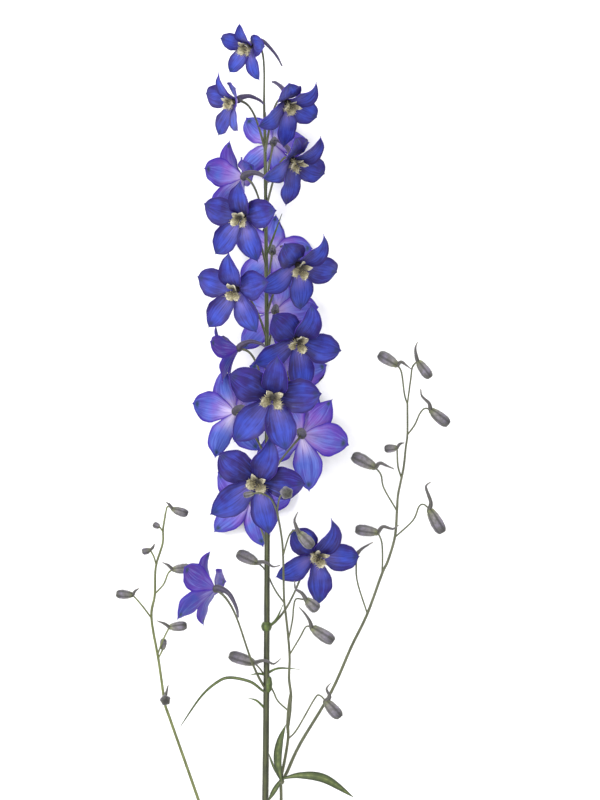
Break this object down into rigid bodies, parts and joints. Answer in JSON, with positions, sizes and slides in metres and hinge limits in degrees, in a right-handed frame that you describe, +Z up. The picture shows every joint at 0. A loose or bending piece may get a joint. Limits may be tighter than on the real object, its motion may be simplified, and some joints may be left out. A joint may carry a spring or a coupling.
{
  "type": "delphinium flower spike",
  "caption": "Cut delphinium stem lying down: a spike of open blue spurred flowers above side branches of closed buds and narrow leaves.",
  "frame": {"origin": "on the surface it lies on, below the middle of its outline seen from above", "axes": "+Y along the stem towards the tip of the spike, +X to the picture's right, +Z up"},
  "size_m": [0.1673, 0.5174, 0.0671],
  "materials": {
    "sepals": "soft satin petal, blue-violet",
    "hearts": "matt downy petal, cream",
    "stalks": "satin green stalk, finely downy",
    "buds": "matt downy bud, grey-mauve and green",
    "leaves": "matt green leaf"
  },
  "bodies": {
    "root": {"stem": "stalks", "left_spray": "buds", "middle_spray": "buds", "right_spray": "buds", "fork_leaf": "leaves", "long_leaf": "leaves", "bloom_01": "sepals", "bloom_02": "sepals", "bloom_03": "sepals", "bloom_04": "sepals", "bloom_05": "sepals", "bloom_06": "sepals", "bloom_07": "sepals", "bloom_08": "sepals", "bloom_09": "sepals", "bloom_10": "sepals", "bloom_11": "sepals", "bloom_12": "sepals", "bloom_13": "sepals", "bloom_14": "sepals", "bloom_15": "sepals", "bloom_16": "sepals", "bloom_17": "sepals", "bloom_18": "sepals", "bloom_19": "sepals", "bloom_20": "sepals", "bloom_21": "sepals", "heart_01": "hearts", "heart_02": "hearts", "heart_03": "hearts", "heart_04": "hearts", "heart_05": "hearts", "heart_06": "hearts", "heart_07": "hearts", "heart_08": "hearts", "heart_09": "hearts", "heart_10": "hearts", "heart_11": "hearts", "heart_12": "hearts", "heart_13": "hearts", "heart_14": "hearts", "heart_15": "hearts", "heart_16": "hearts", "heart_17": "hearts", "heart_18": "hearts", "heart_19": "hearts", "heart_20": "hearts", "heart_21": "hearts"}
  },
  "joints": []
}
